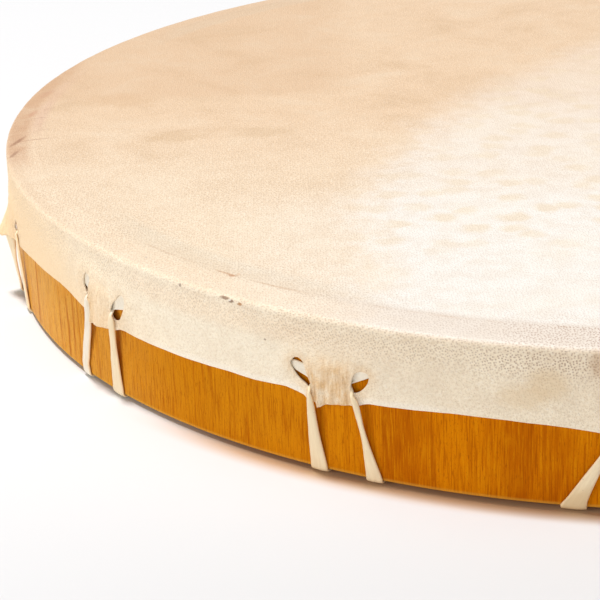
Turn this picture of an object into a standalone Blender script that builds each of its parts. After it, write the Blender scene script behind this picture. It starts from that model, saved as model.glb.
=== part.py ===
"""A rawhide frame drum lying on its open back: a bent wooden hoop, one skin head
pulled down over it, and rawhide laces from pairs of holes in the skin, under the
hoop's bottom edge, to a steel hand ring in the middle of the open back.

Metres, +Z up. The origin is on the drum's axis, on the plane that it rests on.
Angles are degrees round the axis from +X; the front of the drum is -Y (270 degrees).
"""

import math
import random

import bmesh
import bpy
from mathutils import Vector

MM = 0.001

# hoop
HOOP_R = 250.0  # outer radius
HOOP_WALL = 11.0
HOOP_IN = HOOP_R - HOOP_WALL
HOOP_BOTTOM = 1.3  # the laces pass under the hoop, so it stands this far up
HOOP_ARRIS = 0.7  # chamfer of the bottom edges
GAP = 0.3  # between pieces that touch

# skin
SKIN_T = 0.9
TOP_Z = 53.9  # playing surface
BEARING_R = 238.6  # where the flat surface meets the sloping top of the hoop
SIDE_R = HOOP_R + GAP + SKIN_T
HEM_Z = 28.0  # lower edge of the skin between the pairs of holes
HEM_TAB_Z = 24.0  # and where the laces have pulled it down
TAB_BULGE = 1.3  # the lace behind the tab pushes the skin out by this much
HOLE_LOW, HOLE_HIGH = 30.2, 38.2

# pairs of holes: the ones seen from the front are placed one by one, and the rest
# divide what is left of the circle evenly
FRONT_PAIRS = (193.1, 215.55, 239.1, 261.6)
PAIR_COUNT = 16
TAB_HALF, HOLE_OUT = 1.35, 2.9  # degrees from the middle of a pair
LEG_AT = 2.05
# how far each leg of a front pair wanders on its way down, in degrees (left, right)
FRONT_LEANS = ((-0.6, 0.5), (-1.55, 0.0), (0.5, 1.3), (-2.0, 0.9))
LEAN = 1.6  # and the most that the others do

# laces
LACE_T = 1.0
LACE_W_HOLE, LACE_W_EDGE, LACE_W_RING = 3.0, 6.0, 5.0
LACE_Z = 34.2  # height of the stretch behind the tab

# hand ring
RING_R, RING_TUBE, RING_Z = 45.0, 4.0, 6.2
WRAP_R = 5.0  # a lace's centre line round the ring's tube
RING_SPREAD = 4.6  # degrees between a pair's middle and each of its wraps on the ring
TAIL_TO = 63.0  # radius at which the tails end

WOOD = (0.62, 0.25, 0.035, 1.0)
RAWHIDE = (0.86, 0.72, 0.53, 1.0)
LACE = (0.88, 0.79, 0.62, 1.0)
STEEL = (0.55, 0.55, 0.56, 1.0)


def clear_scene():
    for obj in list(bpy.data.objects):
        bpy.data.objects.remove(obj, do_unlink=True)


def material(name, colour, roughness, metallic=0.0):
    mat = bpy.data.materials.new(name)
    mat.use_nodes = True
    shader = next(n for n in mat.node_tree.nodes if n.type == "BSDF_PRINCIPLED")
    shader.inputs["Base Color"].default_value = colour
    shader.inputs["Roughness"].default_value = roughness
    shader.inputs["Metallic"].default_value = metallic
    return mat


def polar(radius, degrees, z):
    a = math.radians(degrees)
    return Vector((radius * math.cos(a), radius * math.sin(a), z))


def finish(name, bm, mat, parent, turn=0.0):
    """The bmesh, in millimetres, as a named object in metres."""
    bmesh.ops.scale(bm, vec=(MM, MM, MM), verts=bm.verts)
    bmesh.ops.recalc_face_normals(bm, faces=bm.faces)
    mesh = bpy.data.meshes.new(name)
    bm.to_mesh(mesh)
    bm.free()
    mesh.materials.append(mat)
    mesh.shade_smooth()
    mesh.set_sharp_from_angle(angle=math.radians(35))
    obj = bpy.data.objects.new(name, mesh)
    obj.rotation_euler.z = math.radians(turn)
    obj.parent = parent
    bpy.context.scene.collection.objects.link(obj)
    return obj


def pair_angles():
    """The middles of all the pairs of holes, going round from the first front pair."""
    left = PAIR_COUNT - len(FRONT_PAIRS)
    step = (360 + FRONT_PAIRS[0] - FRONT_PAIRS[-1]) / (left + 1)
    return list(FRONT_PAIRS) + [FRONT_PAIRS[-1] + step * (i + 1) for i in range(left)]


def columns(pairs):
    """Every angle at which the hoop and the skin have a corner: (angle, bulge, hem, hole),
    where hole says that the strip from here to the next column has a hole."""
    found = []
    for i, middle in enumerate(pairs):
        following = pairs[i + 1] if i + 1 < len(pairs) else pairs[0] + 360
        tab_hem = HEM_TAB_Z
        found += [
            (middle - 6.0, 0.0, HEM_Z - 0.4, False),
            (middle - HOLE_OUT, 0.0, HEM_Z - 0.9, True),
            (middle - TAB_HALF, TAB_BULGE, tab_hem + 0.5, False),
            (middle, TAB_BULGE, tab_hem, False),
            (middle + TAB_HALF, TAB_BULGE, tab_hem + 0.5, True),
            (middle + HOLE_OUT, 0.0, HEM_Z - 0.9, False),
            (middle + 6.0, 0.0, HEM_Z - 0.4, False),
            ((middle + following) / 2, 0.0, HEM_Z, False),
        ]
    return found


def strips(bm, a, b, skip=None):
    """Quads between two closed rings of vertices, leaving out the strips in skip."""
    count = len(a)
    for i in range(count):
        j = (i + 1) % count
        if skip is None or not skip[i]:
            bm.faces.new((a[i], a[j], b[j], b[i]))


def build_hoop(cols, mat, parent):
    """A bent hoop: its top slopes outwards from the bearing edge, its arrises are eased."""
    c, bottom = HOOP_ARRIS, HOOP_BOTTOM
    profile = [
        (HOOP_IN + c, bottom),
        (HOOP_R - c, bottom),
        (HOOP_R, bottom + c),
        (HOOP_R, 50.8),
        (HOOP_R - 0.25, 51.35),
        (HOOP_R - 1.1, 51.75),
        (HOOP_IN + c, 52.45),
        (HOOP_IN, 51.6),
        (HOOP_IN, bottom + c),
    ]
    bm = bmesh.new()
    rings = [[bm.verts.new(polar(r, col[0], z)) for col in cols] for r, z in profile]
    for i, ring in enumerate(rings):
        strips(bm, ring, rings[(i + 1) % len(rings)])
    return finish("hoop", bm, mat, parent)


def build_skin(cols, mat, parent):
    """The head and its side in one skin of even thickness, with a hole on each side of
    every tab. Rows run from the bearing edge down to the hem, outside and inside."""
    top, side = TOP_Z, SIDE_R
    outer = [
        lambda b, hem: (BEARING_R, top),
        lambda b, hem: (side - 1.9, top - 0.9),
        lambda b, hem: (side - 0.4, top - 1.5),
        lambda b, hem: (side, top - 2.7),
        lambda b, hem: (side + b, HOLE_HIGH),
        lambda b, hem: (side + b, HOLE_LOW),
        lambda b, hem: (side + 0.2 * b, hem),
    ]
    t = SKIN_T
    inner = [
        lambda b, hem: (BEARING_R - 0.1, top - t),
        lambda b, hem: (side - 2.2, top - 0.9 - t),
        lambda b, hem: (side - 1.15, top - 1.5 - 0.65),
        lambda b, hem: (side - t, top - 2.9),
        lambda b, hem: (side - t + b, HOLE_HIGH),
        lambda b, hem: (side - t + b, HOLE_LOW),
        lambda b, hem: (side - t + 0.2 * b, hem),
    ]
    bm = bmesh.new()

    def rows(shape):
        made = []
        for row in shape:
            made.append(
                [bm.verts.new(polar(*row(b, hem)[:1], a, row(b, hem)[1])) for a, b, hem, _ in cols]
            )
        return made

    out, ins = rows(outer), rows(inner)
    holes = [col[3] for col in cols]
    above, below = 4, 5  # the rows at the holes' upper and lower edges
    for i in range(len(out) - 1):
        strips(bm, out[i], out[i + 1], holes if i == above else None)
        strips(bm, ins[i], ins[i + 1], holes if i == above else None)
    strips(bm, out[-1], ins[-1])
    count = len(cols)
    for i, hole in enumerate(holes):
        if hole:  # the four cut edges of the hole
            j = (i + 1) % count
            loop = [(above, i), (above, j), (below, j), (below, i)]
            for (ra, ca), (rb, cb) in zip(loop, loop[1:] + loop[:1]):
                bm.faces.new((out[ra][ca], out[rb][cb], ins[rb][cb], ins[ra][ca]))
    for ring, z in ((out[0], top), (ins[0], top - t)):
        centre = bm.verts.new((0, 0, z))
        for i in range(count):
            bm.faces.new((centre, ring[i], ring[(i + 1) % count]))
    return finish("drumhead", bm, mat, parent)


def leg(side, lean):
    """Stations of one leg, from just outside the tab to the tail at the ring, in the
    frame of its pair: (point, outward normal, width)."""
    at = side * LEG_AT
    low = at + lean
    turn_r = 2.6
    arc = math.degrees(1 / HOOP_R)  # degrees per millimetre round the hoop
    made = []

    def station(r, degrees, z, radial, up, width):
        normal = polar(radial, degrees, up)
        made.append((polar(r, degrees, z), normal.normalized(), width))

    # behind the tab, then a flat turn downwards through the hole
    behind = HOOP_R + GAP + LACE_T / 2
    start = at - side * turn_r * arc
    station(behind, start, LACE_Z, 1, 0, LACE_W_HOLE + 0.4)
    bend = math.sqrt(0.5)
    station(behind + 0.8, start + side * turn_r * bend * arc, LACE_Z - turn_r * (1 - bend), 1, 0, LACE_W_HOLE)
    station(behind + 1.8, at, LACE_Z - turn_r, 1, 0, LACE_W_HOLE)
    station(SIDE_R + 1.9, at, HOLE_LOW, 1, 0, LACE_W_HOLE)
    # straight down outside the hoop, over the hem
    station(SIDE_R + 1.5, at + 0.18 * lean, 25.2, 1, 0, LACE_W_HOLE + 0.4)
    station(behind + 0.06, at + 0.95 * lean, HOOP_BOTTOM + HOOP_ARRIS + 1.5, 1, 0, LACE_W_EDGE - 0.2)
    # round the bottom edge and under it
    centre_r, centre_z = HOOP_R - HOOP_ARRIS, HOOP_BOTTOM + HOOP_ARRIS
    round_r = HOOP_ARRIS + GAP + LACE_T / 2
    for degrees in (0, -45, -90):
        c, s = math.cos(math.radians(degrees)), math.sin(math.radians(degrees))
        station(centre_r + round_r * c, low, centre_z + round_r * s, c, s, LACE_W_EDGE)
    # across the open back, up to the top of the ring
    on_ring = side * RING_SPREAD
    z_low = centre_z - round_r
    a, b = polar(centre_r, low, z_low), polar(RING_R, on_ring, z_low)
    share = (HOOP_R - HOOP_IN - 1.2) / (a - b).length
    edge = a.lerp(b, share)
    made.append((edge, Vector((0, 0, -1)), LACE_W_EDGE))
    reach = math.hypot(math.hypot(edge.x, edge.y) - RING_R, RING_Z - z_low)
    dip = math.degrees(math.atan2(z_low - RING_Z, math.hypot(edge.x, edge.y) - RING_R))
    first = dip + math.degrees(math.acos(WRAP_R / reach))
    # over the ring, down inside it and back under it
    steps = 6
    for i in range(steps + 1):
        w = math.radians(first + (270 - first) * i / steps)
        station(
            RING_R + WRAP_R * math.cos(w), on_ring, RING_Z + WRAP_R * math.sin(w),
            -math.cos(w), -math.sin(w), LACE_W_RING,
        )
    station(TAIL_TO, on_ring, RING_Z - WRAP_R, 0, 1, LACE_W_RING - 0.8)
    return made


def ribbon(bm, stations):
    """A flat strip of rawhide swept along the stations, closed at both ends."""
    points = [s[0] for s in stations]
    rings = []
    for i, (point, normal, width) in enumerate(stations):
        before = (point - points[i - 1]).normalized() if i else None
        after = (points[i + 1] - point).normalized() if i + 1 < len(points) else None
        if before is None:
            along, miter = after, 1.0
        elif after is None:
            along, miter = before, 1.0
        else:
            along = (before + after).normalized()
            miter = 1.0 / max(0.7, along.dot(after))
        across = along.cross(normal).normalized()
        out = across.cross(along).normalized()
        # a bend thickens the section on the side that it bends towards or away from
        flat = abs((after - before).normalized().dot(across)) if before and after and (after - before).length > 1e-6 else 0
        wide = width * (miter if flat > 0.7 else 1.0)
        thick = LACE_T * (miter if flat <= 0.7 else 1.0)
        rings.append(
            [
                bm.verts.new(point + across * (x * wide / 2) + out * (y * thick / 2))
                for x, y in ((-1, -1), (1, -1), (1, 1), (-1, 1))
            ]
        )
    for a, b in zip(rings, rings[1:]):
        strips(bm, a, b)
    bm.faces.new(rings[0][::-1])
    bm.faces.new(rings[-1])


def build_lace(index, middle, leans, mat, parent):
    """One lace: from its tail at the ring, out under the hoop, up through the left hole,
    behind the tab, out of the right hole, down, and back to the ring."""
    left, right = leg(-1, leans[0]), leg(1, leans[1])
    tab = [(polar(HOOP_R + GAP + LACE_T / 2, 0, LACE_Z), Vector((1, 0, 0)), LACE_W_HOLE + 0.4)]
    bm = bmesh.new()
    ribbon(bm, left[::-1] + tab + right)
    return finish(f"lace_{index:02d}", bm, mat, parent, turn=middle)


def build_ring(mat, parent):
    bm = bmesh.new()
    major, minor = 40, 10
    rings = []
    for i in range(major):
        a = 360 * i / major
        rings.append(
            [
                bm.verts.new(
                    polar(
                        RING_R + RING_TUBE * math.cos(2 * math.pi * j / minor), a,
                        RING_Z + RING_TUBE * math.sin(2 * math.pi * j / minor),
                    )
                )
                for j in range(minor)
            ]
        )
    for i, ring in enumerate(rings):
        strips(bm, ring, rings[(i + 1) % major])
    return finish("hand_ring", bm, mat, parent)


def main():
    clear_scene()
    wood = material("lacquered_wood", WOOD, 0.3)
    hide = material("rawhide", RAWHIDE, 0.6)
    lace = material("rawhide_lace", LACE, 0.5)
    steel = material("ring_steel", STEEL, 0.35, 1.0)
    drum = bpy.data.objects.new("drum", None)
    bpy.context.scene.collection.objects.link(drum)

    pairs = pair_angles()
    cols = columns(pairs)
    build_hoop(cols, wood, drum)
    build_skin(cols, hide, drum)
    build_ring(steel, drum)
    chance = random.Random(16)
    for i, middle in enumerate(pairs):
        drawn = (chance.uniform(-LEAN, 0.5 * LEAN), chance.uniform(-0.5 * LEAN, LEAN))
        leans = FRONT_LEANS[i] if i < len(FRONT_LEANS) else drawn
        build_lace(i + 1, middle, leans, lace, drum)


main()
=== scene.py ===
import math
import random

import bpy
import numpy as np
from mathutils import Matrix, Vector


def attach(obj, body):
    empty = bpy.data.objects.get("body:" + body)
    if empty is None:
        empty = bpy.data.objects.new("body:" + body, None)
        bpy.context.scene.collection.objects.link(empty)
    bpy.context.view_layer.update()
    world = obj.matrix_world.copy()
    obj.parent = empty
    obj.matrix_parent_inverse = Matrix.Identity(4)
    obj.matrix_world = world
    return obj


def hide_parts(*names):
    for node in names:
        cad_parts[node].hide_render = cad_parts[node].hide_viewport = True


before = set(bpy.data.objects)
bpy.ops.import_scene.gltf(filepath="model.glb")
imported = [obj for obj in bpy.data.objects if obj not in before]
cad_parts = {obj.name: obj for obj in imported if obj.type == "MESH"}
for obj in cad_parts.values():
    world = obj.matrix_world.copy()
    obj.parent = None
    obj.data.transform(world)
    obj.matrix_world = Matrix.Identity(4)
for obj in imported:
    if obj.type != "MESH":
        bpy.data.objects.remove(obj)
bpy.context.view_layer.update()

# A rawhide frame drum on its open back. Lengths below are millimetres, angles are degrees
# round the drum's axis from +X, and the front is -Y. u is the distance along the drum's
# side from the middle of a pair of lace holes, growing with the angle.
MM = 0.001
TAU = 2 * math.pi

HOOP_R, HOOP_IN, HOOP_BOTTOM = 250.0, 239.0, 1.3
SIDE_R, SKIN_T, TOP_Z = 251.2, 0.75, 53.9
BEARING_R, BEARING_SLOPE = 238.6, 0.0841
CREASE_R, CREASE_Z = 2.0, 51.0
PER_MM = math.degrees(1 / SIDE_R)

FRONT_PAIRS = (193.1, 215.6, 239.1, 261.6)
PAIR_COUNT = 16
LEG_AT, LEAN = 2.05, 1.6
FRONT_LEANS = ((-0.6, 0.5), (-1.55, 0.0), (0.5, 1.3), (-2.0, 0.9))
RING_R, RING_TUBE, RING_Z, RING_SPREAD, TAIL_TO = 45.0, 4.0, 6.2, 4.6, 63.0


def ease(x):
    x = np.clip(x, 0.0, 1.0)
    return x * x * (3 - 2 * x)


def at(radius, degrees, z):
    a = np.radians(degrees)
    return np.stack(np.broadcast_arrays(radius * np.cos(a), radius * np.sin(a), z), -1)


def waves(x, seed, count=6, shortest=1.0, longest=6.0):
    """A smooth, repeatable wobble of x (in periods over the whole turn), from -1 to 1."""
    chance = random.Random(seed)
    total = 0.0
    for _ in range(count):
        n = round(chance.uniform(shortest, longest))
        total = total + chance.uniform(0.5, 1.0) * np.sin(n * x + chance.uniform(0, TAU))
    return total / count


# ---------------------------------------------------------------- the pairs of holes


def closed_curve(points, count=240):
    """A smooth closed outline through the points, evenly sampled."""
    p = np.array(points, float)
    n = len(p)
    made = []
    for i in range(n):
        a, b, c, d = p[i - 1], p[i], p[(i + 1) % n], p[(i + 2) % n]
        for t in np.linspace(0, 1, 24, endpoint=False):
            made.append(
                0.5 * (2 * b + (c - a) * t + (2 * a - 5 * b + 4 * c - d) * t**2 + (3 * b - a - 3 * c + d) * t**3)
            )
    made = np.array(made)
    gone = np.concatenate([[0], np.cumsum(np.linalg.norm(np.diff(made, axis=0, append=made[:1]), axis=1))])
    made = np.vstack([made, made[:1]])
    where = np.linspace(0, gone[-1], count, endpoint=False)
    return np.stack([np.interp(where, gone, made[:, k]) for k in (0, 1)], 1)


def oval(side, chance):
    """A punched hole that the lace has pulled into a slanting oval."""
    wide, tall = chance.uniform(2.1, 2.8), chance.uniform(3.6, 4.6)
    tilt = math.radians(chance.uniform(16, 34)) * side
    cu = side * chance.uniform(10.4, 11.4)
    cz = chance.uniform(34.4, 35.6)
    made = []
    for k in range(10):
        a = TAU * k / 10
        x, y = wide * math.cos(a) * (1 + 0.22 * math.sin(a)), tall * math.sin(a)
        made.append((cu + x * math.cos(tilt) + y * math.sin(tilt), cz - x * math.sin(tilt) + y * math.cos(tilt)))
    return made


def pair_angles():
    left = PAIR_COUNT - len(FRONT_PAIRS)
    step = (360 + FRONT_PAIRS[0] - FRONT_PAIRS[-1]) / (left + 1)
    return list(FRONT_PAIRS) + [FRONT_PAIRS[-1] + step * (i + 1) for i in range(left)]


# Legs: (z, left edge, right edge); hem: (u, z); entry: where a leg goes into its hole.
FRONT = {
    0: {
        "holes": (
            [(-10.4, 31.0), (-9.9, 33.0), (-10.3, 35.5), (-11.3, 37.2), (-12.6, 37.6), (-13.4, 36.0), (-13.3, 33.6), (-12.4, 31.6), (-11.2, 30.6)],
            [(7.8, 31.2), (8.2, 33.2), (9.3, 35.0), (11.1, 35.8), (13.1, 35.0), (13.7, 32.8), (12.5, 30.9), (10.2, 30.1)],
        ),
        "necks": (((-11.3, 31.2), (-10.3, 31.6)), ((9.9, 30.6), (8.7, 30.9))),
        "legs": (
            [(2, -11.2, -4.2), (10, -9.6, -2.8), (20, -8.3, -2.2), (27, -9.9, -5.2), (29.6, -11.4, -9.4)],
            [(2, 11.5, 17.8), (10, 10.6, 15.6), (20, 9.5, 13.0), (27, 8.8, 11.4), (29.9, 9.3, 10.6)],
        ),
        "hem": [(-40, 28.3), (-24, 27.9), (-14, 27.0), (-11, 25.6), (-8, 24.5), (-5, 24.7), (-2, 25.6), (1, 26.3), (5, 26.6), (8, 26.2), (10, 25.6), (13, 25.7), (18.5, 26.7), (24.3, 27.6), (33, 28.6), (39, 29.2)],
        "behind": (
            [((-1.2, 39.5), (-1.2, 35.0)), ((-5, 39.5), (-5, 35.2)), ((-9, 39.6), (-8, 35.4)), ((-12.5, 39.2), (-8.8, 35.0)), ((-14.6, 37.6), (-9.0, 34.4)), ((-14.4, 35.6), (-9.2, 33.6)), ((-13.0, 33.6), (-9.4, 32.6)), ((-11.8, 32.4), (-9.6, 32.0))],
            [((1.2, 39.5), (1.2, 35.0)), ((4.5, 39.4), (4.5, 35.0)), ((8, 39.0), (6.8, 34.8)), ((11, 38.6), (7.4, 34.4)), ((13.5, 37.2), (7.6, 34.0)), ((13.2, 35.6), (7.7, 33.4)), ((11.0, 34.4), (7.8, 32.6)), ((9.2, 33.2), (7.9, 31.6))],
        ),
        "flare": (5.6, 1.2),
        "turn": (0, -30, 24, 6),
        "stain": 0.35,
        "folds": [(-3.0, 34, -4.5, 22, 1.1, 0.55), (3.5, 35, 4.6, 22, 1.3, 0.4)],
    },
    1: {
        "holes": (
            [(-7.6, 41.6), (-9.8, 39.8), (-10.2, 36.9), (-9.2, 34.7), (-8.1, 33.3), (-6.9, 32.4), (-6.4, 33.6), (-6.0, 36.0), (-5.2, 40.3)],
            [(13.0, 39.5), (10.0, 36.6), (8.0, 33.2), (8.6, 31.4), (10.3, 29.5), (12.6, 30.6), (14.8, 34.1), (16.1, 37.4), (15.3, 39.6)],
        ),
        "legs": (
            [(2, -17.6, -12.4), (5, -17.8, -13.0), (8.5, -16.5, -11.6), (13.4, -14.8, -9.8), (21, -11.4, -6.8), (27, -9.5, -5.3), (30.5, -8.9, -5.0), (32.2, -8.2, -5.4), (33.2, -7.5, -6.0)],
            [(2, 3.2, 9.8), (7.7, 3.8, 9.6), (11, 4.3, 9.6), (15, 4.8, 9.7), (20, 5.9, 9.7), (26, 6.4, 10.2), (28.4, 6.8, 10.5), (30.2, 7.4, 10.3), (31.3, 8.0, 9.7)],
        ),
        "hem": [(-31, 30.3), (-23.6, 29.7), (-15.4, 27.9), (-11.8, 27.3), (-7.8, 23.8), (-1.5, 24.5), (3.5, 25.1), (8.3, 25.6), (11.7, 26.6), (14.3, 26.9), (20.4, 26.6), (31.9, 26.5), (47.5, 26.6), (64.8, 27.1)],
        "necks": (((-7.1, 33.8), (-6.4, 34.1)), ((9.1, 32.3), (8.2, 32.1))),
        "behind": (
            [((-1.2, 41.4), (-1.2, 35.7)), ((-5, 41.9), (-5.2, 36.1)), ((-9, 42.7), (-5.5, 36.1)), ((-12.2, 41.6), (-5.6, 35.9)), ((-12.8, 38.6), (-5.7, 35.6)), ((-11.0, 36.5), (-5.8, 35.2)), ((-8.4, 36.0), (-5.8, 35.0)), ((-7.0, 35.6), (-5.7, 34.9)), ((-6.9, 34.9), (-5.9, 34.6))],
            [((1.2, 41.2), (1.2, 35.3)), ((5, 41.0), (5.2, 34.6)), ((9, 41.0), (6.2, 34.4)), ((13.5, 41.3), (6.7, 34.3)), ((16.8, 38.6), (6.9, 33.9)), ((17.0, 36.4), (6.9, 33.4)), ((15.5, 34.7), (6.8, 33.2)), ((13.0, 33.9), (6.7, 32.9)), ((10.8, 33.4), (6.8, 32.6)), ((8.9, 33.0), (7.0, 32.4))],
        ),
        "flare": (1.0, 0.8),
        "stain": 0.42,
        "folds": [(-3.6, 37, -4.6, 24, 1.2, -0.55), (0.2, 37, -0.2, 24, 2.0, 0.55), (5.0, 33, 6.0, 25, 0.8, -0.40)],
    },
    2: {
        "holes": (
            [(-11.7, 38.4), (-13.6, 36.6), (-13.4, 34.9), (-11.3, 32.1), (-8.6, 30.0), (-6.7, 29.1), (-5.9, 29.7), (-6.4, 31.6), (-8.2, 35.2), (-9.4, 37.7)],
            [(11.0, 37.8), (8.9, 36.8), (7.9, 34.4), (7.3, 31.4), (8.2, 30.5), (10.0, 30.6), (12.6, 33.2), (13.6, 35.9), (13.0, 37.4)],
        ),
        "legs": (
            [(2.3, -8.1, -2.0), (9.6, -8.2, -3.2), (15, -8.1, -4.0), (19.2, -8.0, -4.4), (23.3, -7.8, -4.8), (25.6, -7.7, -5.2), (27.2, -7.4, -5.5), (28.3, -7.0, -5.8)],
            [(1.9, 11.3, 17.0), (8, 10.9, 15.0), (14.2, 10.5, 13.1), (18, 9.9, 12.2), (21.3, 9.0, 11.5), (24.5, 8.4, 11.1), (27, 7.9, 10.5), (28.6, 7.5, 9.8), (29.8, 7.5, 8.9)],
        ),
        "hem": [(-29.5, 26.8), (-23.1, 27.0), (-16.2, 27.5), (-12.2, 26.8), (-8.4, 25.8), (-5.3, 24.9), (-4.4, 24.6), (-3.6, 23.7), (-2.4, 23.9), (-1.5, 25.0), (4.5, 25.9), (7.1, 26.2), (10, 26.3), (11.5, 27.0), (13.3, 27.4), (18.6, 27.5), (29.6, 28.0), (40, 28.6), (55, 28.5)],
        "necks": (((-6.9, 29.6), (-6.1, 29.9)), ((8.3, 30.9), (7.5, 31.2))),
        "behind": (
            [((-1.2, 37.6), (-1.2, 32.3)), ((-5, 36.9), (-4.4, 32.2)), ((-9.5, 36.3), (-4.9, 32.4)), ((-12.5, 36.8), (-5.1, 32.3)), ((-15.0, 36.3), (-5.2, 32.0)), ((-14.6, 34.6), (-5.3, 31.7)), ((-11.6, 33.4), (-5.4, 31.4)), ((-8.8, 32.7), (-5.5, 31.0)), ((-6.9, 31.6), (-5.6, 30.7)), ((-6.6, 30.6), (-5.8, 30.3))],
            [((1.2, 38.2), (1.2, 32.8)), ((4.3, 39.2), (4.3, 33.6)), ((7.8, 39.9), (5.8, 33.9)), ((11.3, 40.1), (6.5, 33.9)), ((14.1, 39.4), (6.9, 33.6)), ((15.2, 37.5), (7.2, 33.3)), ((13.3, 35.7), (7.0, 32.8)), ((11.0, 34.9), (6.6, 32.5)), ((9.0, 34.3), (6.2, 32.2)), ((7.4, 33.6), (6.1, 31.9)), ((7.1, 32.5), (6.4, 31.6))],
        ),
        "flare": (0.8, 0.6),
        "stain": 0.95,
        "folds": [(-2.9, 33.5, -3.5, 23, 0.7, 0.95), (-4.7, 33, -5.0, 24, 0.8, -0.55), (0.8, 33, 1.2, 24, 0.9, 0.3), (4.4, 34, 4.9, 25, 1.1, 0.35), (6.9, 34, 7.2, 25, 0.7, -0.3)],
        "turn": (1, 10, 19.5, 5.5),
    },
    3: {
        "legs": (
            [(1.9, -26.8, -18.8), (5, -24.4, -18.3), (10.5, -21.2, -16.1), (15.3, -18.2, -14.4), (19.7, -15.5, -12.8), (25, -12.6, -10.6), (29.4, -10.5, -9.2)],
            [(2, 10.6, 17.0), (10, 10.0, 15.2), (20, 9.3, 13.0), (30.5, 8.4, 10.9)],
        ),
        "hem": [(-27, 27.9), (-17, 26.9), (-13, 26.3), (-9.5, 24.6), (-5, 23.7), (0, 23.8), (5, 24.4), (8.6, 25.4), (11.5, 26.7), (15, 27.2), (25, 27.6), (40, 28.1)],
        "flare": (0.7, 0.9),
        "stain": 0.6,
        "folds": [(-2.0, 34, -2.6, 23, 1.1, 0.5), (3.6, 34, 4.4, 24, 1.0, 0.45)],
    },
}


def fan(side, u, z, low, high):
    """The flat lace behind the skin, from the pair's middle outwards, then turning down to the
    neck at (u, z), where it comes out of the hole: pairs of points on its two edges. low and
    high are its edges at the pair's middle."""
    steps = [(3.0, 9.2, -1.8, 3.3), (5.8, 8.3, -1.3, 3.0), (6.8, 6.4, -1.0, 2.5), (5.2, 4.7, -0.8, 2.0), (2.9, 2.9, -0.6, 1.5), (1.2, 1.3, -0.45, 0.9)]
    w = side * u
    made = [((side * 1.2, high), (side * 1.2, low)), ((side * (w - 4), z + 8.6), (side * (w - 4), z + 3.2)), ((side * (w - 0.5), z + 9.0), (side * (w - 2.6), z + 3.4))]
    made += [((side * (w + a), z + b), (side * (w + c), z + d)) for a, b, c, d in steps]
    return made


def make_pairs():
    chance = random.Random(16)
    more = random.Random(161)
    made = []
    for i, angle in enumerate(pair_angles()):
        drawn = (chance.uniform(-LEAN, 0.5 * LEAN), chance.uniform(-0.5 * LEAN, LEAN))
        data = dict(FRONT.get(i, {}))
        if "holes" not in data:
            data["holes"] = (oval(-1, more), oval(1, more))
            if i == 3:
                left = [(-8.6, 32.2), (-9.0, 30.8), (-10.2, 30.3), (-11.6, 31.4), (-12.8, 33.8), (-13.3, 36.4), (-12.7, 38.3), (-11.3, 38.3), (-9.9, 36.6), (-8.9, 34.2)]
                data["holes"] = (left, data["holes"][1])
        data["outlines"] = [closed_curve(h) for h in data["holes"]]
        if "necks" not in data:
            necks = []
            for side, outline in zip((-1, 1), data["outlines"]):
                u, z = outline[np.argmin(outline[:, 1] + 0.6 * side * outline[:, 0])]
                necks.append(((u + side * 0.95, z - 0.05), (u + side * 0.1, z + 0.35)))
            data["necks"] = tuple(necks)
        middles = [((a[0] + b[0]) / 2, (a[1] + b[1]) / 2) for a, b in data["necks"]]
        if "behind" not in data:
            level = (middles[0][1] + middles[1][1]) / 2 + more.uniform(5.0, 6.4)
            data["behind"] = tuple(
                fan(side, u, z, level - 2.6, level + 2.8) for side, (u, z) in zip((-1, 1), middles)
            )
        if "legs" not in data:
            legs = []
            for side, lean, (top_u, top_z) in zip((-1, 1), drawn, middles):
                low_u = (side * LEG_AT + lean) / PER_MM
                bow = more.uniform(-0.8, 0.8)
                leg = []
                for z in (2, 8, 14, 20, 26, top_z - 3, top_z - 1.2):
                    t = (top_z - z) / (top_z - 2)
                    mid = top_u + (low_u - top_u) * t + bow * math.sin(math.pi * t)
                    wide = min(2.5 + 3.7 * t**0.9, 1.4 + 12 * t) * more.uniform(0.94, 1.06)
                    leg.append((z, mid - wide / 2, mid + wide / 2))
                legs.append(leg)
            data["legs"] = tuple(legs)
        if "hem" not in data:
            j = [more.uniform(-0.5, 0.5) for _ in range(12)]
            hem = [(-26, 28 + j[0]), (-15, 27.3 + 0.5 * j[1]), (-11.5, 26.8 + 0.4 * j[2]), (-8.3, 25 + j[3]), (-5.5, 24 + j[4]), (0, 23.7 + j[5]), (5.5, 24.1 + j[6]), (8.3, 25.1 + j[7]), (11.5, 26.8 + 0.4 * j[8]), (15, 27.3 + 0.5 * j[9]), (26, 28 + j[10]), (45, 28.3 + 1.6 * j[11])]
            data["hem"] = hem
        data.setdefault("flare", (more.uniform(0.3, 1.9), more.uniform(0.3, 1.9)))
        data.setdefault("stain", more.uniform(0.35, 0.9))
        if "folds" not in data:
            data["folds"] = [
                (c + more.uniform(-0.6, 0.6), 34, c * 1.25 + more.uniform(-0.8, 0.8), 23.5, more.uniform(0.8, 1.3), more.uniform(0.3, 0.7))
                for c in (-3.4, 0.8, 4.2)
            ]
        data["angle"] = angle
        made.append(data)
    return made


PAIRS = make_pairs()


def hem_points():
    made = []
    for pair in PAIRS:
        made += [((pair["angle"] + u * PER_MM) % 360, z) for u, z in pair["hem"]]
    made.sort()
    kept = [made[0]]
    for p in made[1:]:
        if p[0] - kept[-1][0] > 0.05:
            kept.append(p)
    a = np.array(kept)
    return np.concatenate([a[:, 0] - 360, a[:, 0], a[:, 0] + 360]), np.tile(a[:, 1], 3)


HEM = hem_points()


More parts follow.
